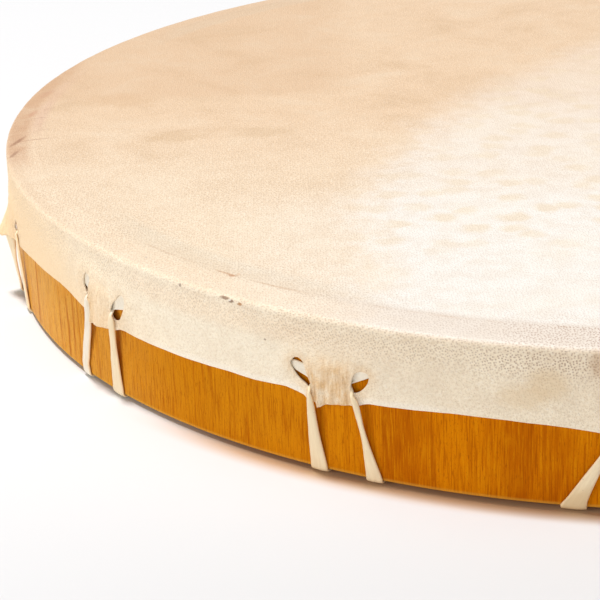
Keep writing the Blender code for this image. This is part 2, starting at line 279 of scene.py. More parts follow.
def hem(degrees):
    """Height of the skin's lower edge, its corners softened over a millimetre."""
    degrees = np.asarray(degrees, float) % 360
    offsets, weights = np.linspace(-1.1, 1.1, 9), np.exp(-np.linspace(-1.6, 1.6, 9) ** 2)
    total = sum(w * np.interp(degrees + o * PER_MM, *HEM) for o, w in zip(offsets, weights))
    rough = 0.10 * waves(np.radians(degrees), 5, 9, 60, 240) + 0.06 * waves(np.radians(degrees), 6, 9, 300, 900)
    return total / weights.sum() + rough


def to_line(u, z, line, half=None):
    """Distance from points to a polyline, less the half width at the nearest place."""
    best = np.full(np.shape(u), 1e9)
    for k in range(len(line) - 1):
        a, b = np.array(line[k][:2]), np.array(line[k + 1][:2])
        d = b - a
        t = np.clip(((u - a[0]) * d[0] + (z - a[1]) * d[1]) / max(d @ d, 1e-9), 0, 1)
        far = np.hypot(u - a[0] - t * d[0], z - a[1] - t * d[1])
        if half:
            far = far - (line[k][2] + (line[k + 1][2] - line[k][2]) * t)
        best = np.minimum(best, far)
    return best


def swell(degrees, z):
    """How far the skin's side stands out from the hoop's, in millimetres."""
    degrees, z = np.broadcast_arrays(np.atleast_1d(np.asarray(degrees, float)) % 360, np.asarray(z, float))
    a = np.radians(degrees)
    total = 0.10 * (waves(a, 11, 7, 9, 70) + 0.5 * waves(a + z * 0.01, 12, 7, 40, 200)) * ease((50.5 - z) / 6) + 0.04
    for pair in PAIRS:
        u = ((degrees - pair["angle"] + 180) % 360 - 180) / PER_MM
        near = np.abs(u) < 34
        if not near.any():
            continue
        un, zn = u[near], z[near]
        line = [
            ((a[0] + b[0]) / 2, (a[1] + b[1]) / 2, math.dist(a, b) / 2 - 0.2)
            for a, b in pair["behind"][0][::-1] + list(pair["behind"][1])
        ]
        over = 0.5 * ease(1.0 - (to_line(un, zn, line, True) - 0.3) / 5.0) * ease((zn - 28.3) / 2.8)
        left_in, right_in = pair["outlines"][0][:, 0].max(), pair["outlines"][1][:, 0].min()
        mid, half = (left_in + right_in) / 2, (right_in - left_in) / 2
        first, last = pair["flare"]
        flare = (first + last) / 2 + (last - first) / 2 * np.clip((un - mid) / 6, -1.4, 1.4)
        reach = 4.2 - 1.6 * ease(first / 4)
        hang = (0.55 + 0.55 * np.clip((zn - 25) / 9, 0, 1) + flare * np.clip((36 - zn) / 12, 0, 1.2) ** 1.25) * ease(
            (half + reach - np.abs(un - mid)) / 3.4
        ) * ease((43 - zn) / 7)
        out = (over**4 + hang**4) ** 0.25
        for ut, zt, ub, zb, wide, tall in pair["folds"]:
            t = (zt - zn) / (zt - zb)
            axis = ut + (ub - ut) * np.clip(t, -0.5, 1.3)
            out = out + tall * np.exp(-(((un - axis) / wide) ** 2)) * ease((t + 0.25) / 0.7)
        # the skin is drawn in long creases from the holes up towards the rim
        for outline, side in zip(pair["outlines"], (-1, 1)):
            cu, cz = outline.mean(0)
            du, dz = un - cu, zn - cz
            far = np.hypot(du, dz)
            fan = np.arctan2(du, dz)
            out = out + 0.085 * np.cos(11 * fan + side) * ease((far - 2.5) / 3) * np.exp(-(far / 9.0) ** 2) * ease((dz + 4) / 4)
        total[near] += np.maximum(out, -0.1)
    return total


# ---------------------------------------------------------------- meshes


def object_from(name, points, faces, attributes, material):
    """A mesh object from points in millimetres, with vertex attributes for its material."""
    mesh = bpy.data.meshes.new(name)
    mesh.from_pydata((np.asarray(points) * MM).tolist(), [], faces)
    for key, values in attributes.items():
        layer = mesh.attributes.new(key, "FLOAT_VECTOR", "POINT")
        layer.data.foreach_set("vector", np.asarray(values, np.float32).ravel())
    mesh.materials.append(material)
    mesh.shade_smooth()
    mesh.validate()
    mesh.update()
    obj = bpy.data.objects.new(name, mesh)
    bpy.context.scene.collection.objects.link(obj)
    return obj


def outward(obj):
    """Turns all faces of a closed mesh the right way out."""
    import bmesh

    bm = bmesh.new()
    bm.from_mesh(obj.data)
    bmesh.ops.recalc_face_normals(bm, faces=bm.faces)
    if bm.calc_volume(signed=True) < 0:
        bmesh.ops.reverse_faces(bm, faces=bm.faces)
    bm.to_mesh(obj.data)
    bm.free()
    return obj


def point_normals(points, faces):
    p = np.asarray(points, float)
    total = np.zeros_like(p)
    tris = np.array([(f[0], f[i], f[i + 1]) for f in faces for i in range(1, len(f) - 1)])
    n = np.cross(p[tris[:, 1]] - p[tris[:, 0]], p[tris[:, 2]] - p[tris[:, 0]])
    for k in range(3):
        np.add.at(total, tris[:, k], n)
    return total / np.maximum(np.linalg.norm(total, axis=1, keepdims=True), 1e-12)


def bridge(a, turn_a, b, turn_b):
    """Triangles between two closed rings with different numbers of vertices; turn_a and
    turn_b are their angles, both growing over one turn."""
    start = int(np.argmin(np.abs((np.asarray(turn_b) - turn_a[0] + 180) % 360 - 180)))
    b = list(b[start:]) + list(b[:start])
    tb = [(t - turn_a[0] + 180) % 360 - 180 for t in (list(turn_b[start:]) + list(turn_b[:start]))]
    for i in range(1, len(tb)):
        while tb[i] <= tb[i - 1]:
            tb[i] += 360
    ta = [t - turn_a[0] for t in turn_a] + [360.0]
    tb = tb + [tb[0] + 360]
    a, b = list(a) + [a[0]], b + [b[0]]
    i = j = 0
    made = []
    while i < len(a) - 1 or j < len(b) - 1:
        if j == len(b) - 1 or (i < len(a) - 1 and ta[i + 1] - tb[j + 1] < 0):
            made.append((a[i], a[i + 1], b[j]))
            i += 1
        else:
            made.append((a[i], b[j + 1], b[j]))
            j += 1
    return made


BLOCK_TOP, BLOCK_LOW, BLOCK_ROWS = 43.2, 28.8, 16


def skin_columns():
    """Angles of the skin's columns, and for each hole the columns that its block spans."""
    turns, blocks = [], []
    for i, pair in enumerate(PAIRS):
        before = PAIRS[i - 1]["angle"] - (360 if i == 0 else 0)
        after = PAIRS[(i + 1) % PAIR_COUNT]["angle"] + (360 if i == PAIR_COUNT - 1 else 0)
        if i == 0:
            before = PAIRS[-1]["angle"] - 360
        reach = ((pair["angle"] - before) / 2 / PER_MM, (after - pair["angle"]) / 2 / PER_MM)
        fine, far = (0.68, 2.6) if i < 4 else (1.2, 3.4)
        spans = []
        for outline in pair["outlines"]:
            spans.append((outline[:, 0].min() - 2.4, outline[:, 0].max() + 2.4))
        stops = [-reach[0], -23.0, spans[0][0], spans[0][1], spans[1][0], spans[1][1], 23.0, reach[1]]
        steps = [far, fine * 1.25, fine, fine, fine, fine * 1.25, far]
        marks = []
        for a, b, step in zip(stops, stops[1:], steps):
            marks.append(len(turns))
            count = max(1, round((b - a) / step))
            turns += [pair["angle"] + (a + (b - a) * k / count) * PER_MM for k in range(count)]
        blocks.append((i, 0, marks[2], marks[3]))
        blocks.append((i, 1, marks[4], marks[5]))
    return np.array(turns), blocks


def build_skin(material):
    turns, blocks = skin_columns()
    count = len(turns)
    # rows from the bearing edge over the rim and down: (r, z) of the plain profile
    rows = []
    for r in (235.6, 236.9, 237.8, 238.4, 239.0, 239.8, 241.0, 243.2, 245.4, 247.4, 248.6):
        rows.append((r, TOP_Z - BEARING_SLOPE * 0.6 * math.log1p(math.exp((r - BEARING_R) / 0.6))))
    rim = len(rows)
    base = TOP_Z - BEARING_SLOPE * (SIDE_R - CREASE_R - BEARING_R)
    for k in range(8):
        a = math.radians(86 - 86 * k / 7)
        rows.append(
            (SIDE_R - CREASE_R + CREASE_R * math.cos(a) ** (2 / 2.5), CREASE_Z + (base - CREASE_Z) * math.sin(a) ** (2 / 2.5))
        )
    side = len(rows)
    rows += [(SIDE_R, z) for z in (50.1, 49.0, 47.6, 46.2, 44.8)]
    gone = [rows[0][0]]
    for a, b in zip(rows, rows[1:]):
        gone.append(gone[-1] + math.hypot(b[0] - a[0], b[1] - a[1]))
    crease_at = gone[rim + 4]
    side_gone = gone[side - 1] + (rows[side - 1][1] - 50.1)  # arc length at z = 50.1

    edge = hem(turns)
    low = np.maximum(BLOCK_LOW, edge + 0.9)
    grid_z, grid_r = [], []
    a = np.radians(turns)
    lump = 0.16 * waves(a, 21, 8, 12, 90) + 0.07 * waves(a, 22, 8, 90, 260)
    for k, (r, z) in enumerate(rows):
        w = ease((k - 6) / (rim - 3)) * (1 if k < side else 0)
        if k < side:
            grid_r.append(np.full(count, r) + lump * w * 0.5 + (swell(turns, 50.0) * ease((k - rim) / 7) if k >= rim else 0))
            grid_z.append(np.full(count, z) + lump * w)
        else:
            grid_r.append(SIDE_R + swell(turns, z))
            grid_z.append(np.full(count, z))
    block_first = len(grid_z)
    for k in range(BLOCK_ROWS + 1):
        z = BLOCK_TOP - (BLOCK_TOP - low) * k / BLOCK_ROWS
        grid_z.append(z)
        grid_r.append(SIDE_R + swell(turns, z))
    block_last = len(grid_z) - 1
    for t in (0.25, 0.5, 0.75, 0.92, 1.0):
        z = low + (edge - low) * t
        grid_z.append(z)
        grid_r.append(SIDE_R + swell(turns, z))
    height = len(grid_z)

    points, sheet_xy, about = [], [], []  # about: (from the crease, above the hem, height)
    grid = np.full((height, count), -1)
    blocked = np.zeros((height, count), bool)
    for _, _, c0, c1 in blocks:
        blocked[block_first + 1 : block_last, c0 + 1 : c1] = True

    def put(r, turn, z, rho):
        points.append(at(r, turn, z))
        sheet_xy.append(at(rho, turn, 0.0) * MM)
        about.append((rho - crease_at, z - float(hem(turn)), z))
        return len(points) - 1

    plain = [np.full(count, g) for g in gone[:side]]
    for j in range(height):
        p = at(grid_r[j], turns, grid_z[j])
        rho = plain[j] if j < side else side_gone + (50.1 - grid_z[j])
        xy = at(rho, turns, 0.0) * MM
        for i in range(count):
            if not blocked[j, i]:
                grid[j, i] = len(points)
                points.append(p[i])
                sheet_xy.append(xy[i])
                about.append((rho[i] - crease_at, grid_z[j][i] - edge[i], grid_z[j][i]))

    faces = []
    in_block = np.zeros((height, count), bool)
    for _, _, c0, c1 in blocks:
        in_block[block_first:block_last, c0:c1] = True
    for j in range(height - 1):
        for i in range(count):
            if not in_block[j, i]:
                k = (i + 1) % count
                faces.append((grid[j, i], grid[j + 1, i], grid[j + 1, k], grid[j, k]))

    rims = []
    for which, hand, c0, c1 in blocks:
        pair = PAIRS[which]
        outline = pair["outlines"][hand]
        loop = [(block_first + k, c0) for k in range(BLOCK_ROWS)]
        loop += [(block_last, c0 + k) for k in range(c1 - c0)]
        loop += [(block_last - k, c1) for k in range(BLOCK_ROWS)]
        loop += [(block_first, c1 - k) for k in range(c1 - c0)]
        frame_uz = np.array([((turns[c] - pair["angle"]) / PER_MM, grid_z[r][c]) for r, c in loop])
        centre = outline.mean(0)
        spread = np.cov((outline - centre).T)
        values, vectors = np.linalg.eigh(spread)
        squash = vectors @ np.diag(1 / np.sqrt(values)) @ vectors.T
        half = 0.5 * (np.eye(2) / np.sqrt(values.mean()) + squash)
        q = (outline - centre) @ half.T
        turn_o = np.unwrap(np.arctan2(q[:, 1], q[:, 0]))
        order = np.argsort(turn_o % TAU)
        to = np.concatenate([(turn_o % TAU)[order] - TAU, (turn_o % TAU)[order], (turn_o % TAU)[order] + TAU])
        ox, oy = np.tile(outline[order, 0], 3), np.tile(outline[order, 1], 3)
        f = (frame_uz - centre) @ half.T
        want = np.arctan2(f[:, 1], f[:, 0]) % TAU
        hole = np.stack([np.interp(want, to, ox), np.interp(want, to, oy)], 1)
        previous = [grid[r, c] for r, c in loop]
        for t in (0.38, 0.66, 0.86, 0.96, 1.0):
            uz = frame_uz + (hole - frame_uz) * t
            turn = pair["angle"] + uz[:, 0] * PER_MM
            r = SIDE_R + swell(turn, uz[:, 1])
            ring = [put(r[k], turn[k], uz[k, 1], side_gone + (50.1 - uz[k, 1])) for k in range(len(uz))]
            for k in range(len(ring)):
                n = (k + 1) % len(ring)
                faces.append((previous[k], previous[n], ring[n], ring[k]))
            previous = ring
        centre_3d = at(SIDE_R + 1, pair["angle"] + centre[0] * PER_MM, centre[1])
        rims.append((previous, centre_3d))

    # playing surface: coarser towards the middle
    ring = [grid[0, i] for i in range(count)]
    ring_turns = list(turns)
    for radius, segments in ((226, 256), (206, 192), (180, 160), (150, 128), (115, 96), (80, 64), (45, 36), (16, 14)):
        inner_turns = [turns[0] + 360 * k / segments for k in range(segments)]
        inner = [put(radius, t, TOP_Z, radius) for t in inner_turns]
        faces += [f for f in bridge(ring, ring_turns, inner, inner_turns)]
        ring, ring_turns = inner, inner_turns
    middle = put(0, 0, TOP_Z, 0)
    for k in range(len(ring)):
        faces.append((middle, ring[k], ring[(k + 1) % len(ring)]))

    # the flesh side, one thickness in, then the cut edges
    outer_count = len(points)
    p = np.array(points)
    # keep triangles between rings facing up before normals are taken
    fixed = []
    for f in faces:
        n = np.cross(p[f[1]] - p[f[0]], p[f[2]] - p[f[0]])
        mid = p[list(f)].mean(0)
        out = np.array([mid[0], mid[1], 0.0]) if mid[2] < 51.5 else np.array([0, 0, 1.0])
        fixed.append(f if n @ out > 0 else tuple(reversed(f)))
    faces = fixed
    normals = point_normals(p, faces)
    inner_p = p - normals * SKIN_T
    skip = {6, 7, 8, 9, 1, 3, rim + 1, rim + 3, rim + 5, side, side + 2, side + 3}
    kept_rows = [j for j in range(height) if j not in skip]
    used = set()
    inner_faces = []
    grid_faces = set()
    for j0, j1 in zip(kept_rows, kept_rows[1:]):
        for i in range(count):
            if not in_block[j0, i]:
                k = (i + 1) % count
                inner_faces.append((grid[j0, k], grid[j1, k], grid[j1, i], grid[j0, i]))
    first_rest = (height - 1) * count - sum((c1 - c0) * BLOCK_ROWS for _, _, c0, c1 in blocks)
    inner_faces += [tuple(reversed(f)) for f in faces[first_rest:]]
    names = sorted({v for f in inner_faces for v in f})
    place = {v: outer_count + n for n, v in enumerate(names)}
    points = list(p) + [inner_p[v] for v in names]
    sheet_xy = sheet_xy + [sheet_xy[v] for v in names]
    about = about + [about[v] for v in names]
    kind = [(0.0, 0.0, 0.0)] * outer_count + [(1.0, 0.0, 0.0)] * len(names)
    faces = faces + [tuple(place[v] for v in f) for f in inner_faces]

    def wall(ring, inward, depth_in):
        """The rounded cut edge from an outer ring of vertices to the inner one."""
        last = ring
        for share, push in ((0.16, 0.10), (0.5, 0.17), (0.84, 0.10)):
            new = []
            for v, way in zip(ring, inward):
                points.append(p[v] * (1 - share) + inner_p[v] * share + way * push * depth_in)
                sheet_xy.append(sheet_xy[v])
                about.append(about[v])
                kind.append((0.5, 1.0, 0.0))
                new.append(len(points) - 1)
            for k in range(len(ring)):
                n = (k + 1) % len(ring)
                faces.append((last[k], last[n], new[n], new[k]))
            last = new
        for k in range(len(ring)):
            n = (k + 1) % len(ring)
            faces.append((last[k], last[n], place[ring[n]], place[ring[k]]))

    hem_ring = [grid[height - 1, i] for i in range(count)]
    wall(hem_ring, [np.array([0, 0, -1.0])] * count, 1.0)
    for ring, centre in rims:
        ways = []
        for v in ring:
            way = centre - p[v]
            way = way - normals[v] * (way @ normals[v])
            ways.append(way / max(np.linalg.norm(way), 1e-9))
        wall(ring, ways, 1.0)

    # how much each place is stained and worked by the lacing
    q = np.array(points)
    turn = np.degrees(np.arctan2(q[:, 1], q[:, 0])) % 360
    stain, near_hole = np.zeros(len(q)), np.zeros(len(q))
    for pair in PAIRS:
        u = ((turn - pair["angle"] + 180) % 360 - 180) / PER_MM
        sel = (np.abs(u) < 36) & (q[:, 2] < 51)
        un, zn = u[sel], q[sel, 2]
        tab = ease((10.5 - np.abs(un)) / 5) * ease((44 - zn) / 9)
        ring = np.zeros(len(un))
        for outline in pair["outlines"]:
            far = np.sqrt(((np.stack([un, zn], 1)[:, None] - outline[None, ::8]) ** 2).sum(2)).min(1)
            ring = np.maximum(ring, np.exp(-(far / 2.6) ** 2))
        stain[sel] = np.maximum(stain[sel], pair["stain"] * np.maximum(tab, 0.45 * ring))
        near_hole[sel] = np.maximum(near_hole[sel], ring)
    kind = np.array(kind)
    kind[:, 2] = stain
    obj = object_from(
        "skin",
        points,
        [tuple(int(v) for v in f) for f in faces],
        {"skin_xy": sheet_xy, "skin_about": about, "skin_kind": kind},
        material,
    )
    return outward(obj)


def build_hoop(material):
    """The bent hoop as one closed ring, its arrises rounded."""
    profile = []

    def arc(cr, cz, radius, start, end, steps):
        for k in range(steps + 1):
            a = math.radians(start + (end - start) * k / steps)
            profile.append((cr + radius * math.cos(a), cz + radius * math.sin(a)))

    arc(HOOP_R - 0.9, HOOP_BOTTOM + 0.9, 0.9, -90, 0, 6)
    for z in (8, 15, 22, 29, 36, 43):
        profile.append((HOOP_R, z))
    arc(HOOP_R - 0.9, 50.8, 0.9, 0, 86, 5)
    arc(HOOP_IN + 0.8, 51.65, 0.8, 86, 180, 5)
    for z in (40, 28, 15):
        profile.append((HOOP_IN, z))
    arc(HOOP_IN + 0.9, HOOP_BOTTOM + 0.9, 0.9, 180, 270, 5)
    profile.append((HOOP_R - 5.5, HOOP_BOTTOM))
    segments, n = 600, len(profile)
    gone = [0.0]
    for a, b in zip(profile, profile[1:]):
        gone.append(gone[-1] + math.hypot(b[0] - a[0], b[1] - a[1]))
    points, grain = [], []
    for i in range(segments):
        # the ring's segments start at the back, where the lap joint is
        t = 90 + 360 * i / segments
        for (r, z), g in zip(profile, gone):
            points.append(at(r, t, z))
            a = math.radians(t)
            grain.append((math.cos(a) * 0.25, math.sin(a) * 0.25, z * MM))
    faces = []
    for i in range(segments):
        j = (i + 1) % segments
        for k in range(n):
            m = (k + 1) % n
            faces.append((i * n + k, j * n + k, j * n + m, i * n + m))
    obj = object_from("hoop_wood", points, faces, {"grain": grain}, material)
    return outward(obj)


def smooth_line(values):
    """A centripetal Catmull-Rom line through rows of numbers, the first three a place."""
    v = np.asarray(values, float)
    padded = np.vstack([2 * v[0] - v[1], v, 2 * v[-1] - v[-2]])
    made = []
    for i in range(1, len(padded) - 2):
        a, b, c, d = padded[i - 1 : i + 3]
        k1 = max(np.linalg.norm((b - a)[:3]), 0.05) ** 0.5
        k2 = k1 + max(np.linalg.norm((c - b)[:3]), 0.05) ** 0.5
        k3 = k2 + max(np.linalg.norm((d - c)[:3]), 0.05) ** 0.5
        steps = max(2, min(14, int(np.linalg.norm((c - b)[:3]) / 0.7)))
        for t in np.linspace(k1, k2, steps, endpoint=False):
            a1 = (k1 - t) / k1 * a + t / k1 * b
            a2 = (k2 - t) / (k2 - k1) * b + (t - k1) / (k2 - k1) * c
            a3 = (k3 - t) / (k3 - k2) * c + (t - k2) / (k3 - k2) * d
            b1 = (k2 - t) / k2 * a1 + t / k2 * a2
            b2 = (k3 - t) / (k3 - k1) * a2 + (t - k1) / (k3 - k1) * a3
            made.append((k2 - t) / (k2 - k1) * b1 + (t - k1) / (k2 - k1) * b2)
    made.append(v[-1])
    return np.array(made)


def ribbon(name, stations, material):
    """A strip of rawhide swept along stations of (middle xyz, half across xyz, normal xyz,
    curl, thickness). Its section is an arc that bends away from the normal by the curl."""
    s = smooth_line(stations)
    p, across, normal, curl, thick = s[:, :3], s[:, 3:6], s[:, 6:9], s[:, 9], s[:, 10]
    half = np.linalg.norm(across, axis=1)
    across = across / half[:, None]
    normal = normal - across * (normal * across).sum(1, keepdims=True)
    normal /= np.linalg.norm(normal, axis=1, keepdims=True)
    gone = np.concatenate([[0], np.cumsum(np.linalg.norm(np.diff(p, axis=0), axis=1))])
    cells = 8
    xs = np.linspace(-1, 1, cells + 1)
    points, about = [], []
    for i in range(len(p)):
        k = max(curl[i], 1e-3)
        radius = half[i] / math.sin(k / 2)
        phi = xs * k / 2
        mid = p[i] + across[i] * (radius * np.sin(phi))[:, None] + normal[i] * (radius * (np.cos(phi) - math.cos(k / 2)))[:, None]
        way = across[i] * np.sin(phi)[:, None] + normal[i] * np.cos(phi)[:, None]
        body = thick[i] / 2 * (1 - 0.22 * xs**4)
        # a dried lace is never quite even
        rough = 0.035 * np.cos(3 * xs + gone[i] * 0.5) * math.sin(gone[i] * 1.3) * min(1.0, half[i])
        top = mid + way * (body + rough)[:, None]
        low = mid - way * body[:, None]
        left = mid[0] - (across[i] * math.cos(phi[0]) - normal[i] * math.sin(phi[0])) * 0.28 * thick[i]
        right = mid[-1] + (across[i] * math.cos(phi[-1]) - normal[i] * math.sin(phi[-1])) * 0.28 * thick[i]
        section = [left, *top, right, *low[::-1]]
        points += section
        wide = radius * k / 2 * MM
        about += [(gone[i] * MM, x * wide, face) for x, face in [(-1, 0.5), *[(x, 1.0 - 0.3 * x**6) for x in xs], (1, 0.5), *[(x, 0.0) for x in xs[::-1]]]]
    n = len(section)
    faces = []
    for i in range(len(p) - 1):
        for k in range(n):
            m = (k + 1) % n
            faces.append((i * n + k, i * n + m, (i + 1) * n + m, (i + 1) * n + k))
    for i, flip in ((0, False), (len(p) - 1, True)):
        # end caps as strips between the top and bottom faces
        base = i * n
        tops = [base + 1 + k for k in range(cells + 1)]
        lows = [base + n - 1 - k for k in range(cells + 1)]
        cap = [(base, tops[0], lows[0])]
        cap += [(tops[k], tops[k + 1], lows[k + 1], lows[k]) for k in range(cells)]
        cap += [(tops[-1], base + cells + 2, lows[-1])]
        faces += [tuple(reversed(f)) if flip else f for f in cap]
    obj = object_from(name, points, faces, {"lace": about}, material)
    return outward(obj)


def lace_stations(pair, hand):
    """One half of a lace, from behind the middle of its tab out through a hole, down, under
    the hoop and to the hand ring."""
    side = (-1, 1)[hand]
    angle = pair["angle"]
    leg = sorted(pair["legs"][hand])
    zs = np.array([q[0] for q in leg])
    lefts, rights = np.array([q[1] for q in leg]), np.array([q[2] for q in leg])
    made = []

    def on_side(r, first, second, curl, thick, radial=1.0, up=0.0, lift=(0.0, 0.0)):
        """A station between two points (u, z) of the drum's side, first the outer edge."""
        a = at(r + lift[0], angle + first[0] * PER_MM, first[1])
        b = at(r + lift[1], angle + second[0] * PER_MM, second[1])
        d = angle + (first[0] + second[0]) / 2 * PER_MM
        made.append([*(a + b) / 2, *(b - a) / 2, *at(radial, d, up), curl, thick])

    # flat behind the skin, from the middle outwards, then turning down to the hole
    ts = np.linspace(0, 1, 7)
    for outer, inner in pair["behind"][hand]:
        room = np.array([
            max(SIDE_R - SKIN_T - 0.46 + swell(angle + (outer[0] + (inner[0] - outer[0]) * t) * PER_MM, outer[1] + (inner[1] - outer[1]) * t)[0], HOOP_R + 0.42)
            for t in ts
        ])
        lift = np.array([room[0], room[-1]])
        lift -= max(0.0, (lift[0] + (lift[1] - lift[0]) * ts - room).max())
        on_side(0.0, outer, inner, 0.16, 0.60, lift=tuple(np.maximum(lift, HOOP_R + 0.42)))
    outer, inner = pair["necks"][hand]
    neck = ((outer[0] + inner[0]) / 2, (outer[1] + inner[1]) / 2)
    skin_r = SIDE_R + swell(angle + neck[0] * PER_MM, neck[1] - 1.6)[0]
    lip = skin_r + 0.12
    on_side(lip - 0.75, outer, inner, 0.9, 0.62, 0.7, 0.9)

    def down(z, r, curl, thick, tip=0.0):
        edge = thick * math.sin(curl / 2) + 0.56 * thick * math.cos(curl / 2)
        left, right = np.interp(z, zs, lefts), np.interp(z, zs, rights)
        half = max((right - left - edge) / 2, 0.22)
        mid = (left + right) / 2
        lean = side * half * math.tan(tip)
        first, second = (mid + side * half, z), (mid - side * half, z)
        d = math.radians(angle + mid * PER_MM)
        n = np.array([math.cos(d) - math.tan(tip) * -math.sin(d), math.sin(d) - math.tan(tip) * math.cos(d), 0.0])
        a, b = at(r + lean, angle + first[0] * PER_MM, z), at(r - lean, angle + second[0] * PER_MM, z)
        made.append([*(a + b) / 2, *(b - a) / 2, *n / np.linalg.norm(n), curl, thick])

    top_z = zs[-1]
    thin = 0.66
    down(top_z, lip + thin * 0.35, 2.0, thin)
    low_r = HOOP_R + 0.15 + 0.85 / 2
    z = top_z - 1.3
    while z > 5.0:
        t = (z - 3.6) / (top_z - 3.6)
        which, most, centre, spread = pair.get("turn", (None, 0, 0, 1))
        tip = math.radians(most) * math.exp(-(((z - centre) / spread) ** 2)) if hand == which else 0.0
        r = low_r + (lip + 0.16 - low_r) * t
        down(z, r, 0.15 + 1.9 * t**1.1, thin + (0.85 - thin) * (1 - t), tip)
        z -= 1.7 if z > top_z - 6 else 3.6
    down(3.9, low_r, 0.16, 0.85)
    # round the hoop's bottom edge
    left, right = np.interp(2.2, zs, lefts), np.interp(2.2, zs, rights)
    half, low_u = (right - left - 0.5) / 2, (left + right) / 2
    cr, cz, rr = HOOP_R - 0.9, HOOP_BOTTOM + 0.9, 0.9 + 0.12 + 0.85 / 2
    low_turn = low_u * PER_MM

    def flat(place, normal, half, curl, thick=0.85, turn=low_turn):
        d = math.radians(angle + turn)
        made.append([*place, side * math.sin(d) * half, -side * math.cos(d) * half, 0.0, *normal, curl, thick])

    for d in (0, -30, -60, -90):
        c, s = math.cos(math.radians(d)), math.sin(math.radians(d))
        flat(at(cr + rr * c, angle + low_turn, cz + rr * s), at(c, angle + low_turn, s), half, 0.10)
    z_low = cz - rr
    on_ring = side * RING_SPREAD
    a, b = at(cr, angle + low_turn, z_low), at(RING_R, angle + on_ring, z_low)
    edge = a + (b - a) * ((HOOP_R - HOOP_IN + 0.5) / np.linalg.norm(a - b))
    flat(edge, (0, 0, -1), half, 0.10)
    # straight across the open back and over the ring
    wrap = RING_TUBE + 0.15 + 0.85 / 2
    away = math.hypot(edge[0], edge[1])
    reach = math.hypot(away - RING_R, RING_Z - z_low)
    dip = math.degrees(math.atan2(z_low - RING_Z, away - RING_R))
    first = dip + math.degrees(math.acos(wrap / reach))
    top = at(RING_R + wrap * math.cos(math.radians(first)), angle + on_ring, RING_Z + wrap * math.sin(math.radians(first)))
    for t in (0.12, 0.35, 0.65, 0.88):
        flat(edge + (top - edge) * t, (0, 0, -1), half + (2.1 - half) * t, 0.1 + 0.4 * math.sin(math.pi * t), turn=on_ring * t + low_turn * (1 - t))
    steps = 9
    for i in range(steps + 1):
        w = math.radians(first + (266 - first) * i / steps)
        c, s = math.cos(w), math.sin(w)
        place = at(RING_R + wrap * c, angle + on_ring, RING_Z + wrap * s)
        flat(place, at(-c, angle + on_ring, -s), 2.1, 0.08, turn=on_ring)
    for r, z, w in ((52.0, RING_Z - wrap, 2.1), (58.0, RING_Z - wrap - 0.1, 2.0), (TAIL_TO, RING_Z - wrap - 0.2, 1.6)):
        flat(at(r, angle + on_ring, max(z, 0.6)), (0, 0, 1), w, 0.2, turn=on_ring)
    return made


def build_lace(number, pair, material):
    left, right = lace_stations(pair, 0), lace_stations(pair, 1)
    return ribbon(f"rawhide_lace_{number:02d}", left[::-1] + right, material)


def build_ring(material):
    major, minor = 120, 24
    points, about = [], []
    for i in range(major):
        t = 360 * i / major
        for j in range(minor):
            w = TAU * j / minor
            points.append(at(RING_R + RING_TUBE * math.cos(w), t, RING_Z + RING_TUBE * math.sin(w)))
            about.append((math.radians(t) * RING_R * MM, w * RING_TUBE * MM, 0.0))
    faces = []
    for i in range(major):
        k = (i + 1) % major
        for j in range(minor):
            m = (j + 1) % minor
            faces.append((i * minor + j, k * minor + j, k * minor + m, i * minor + m))
    return outward(object_from("steel_hand_ring", points, faces, {"metal": about}, material))


# ---------------------------------------------------------------- materials


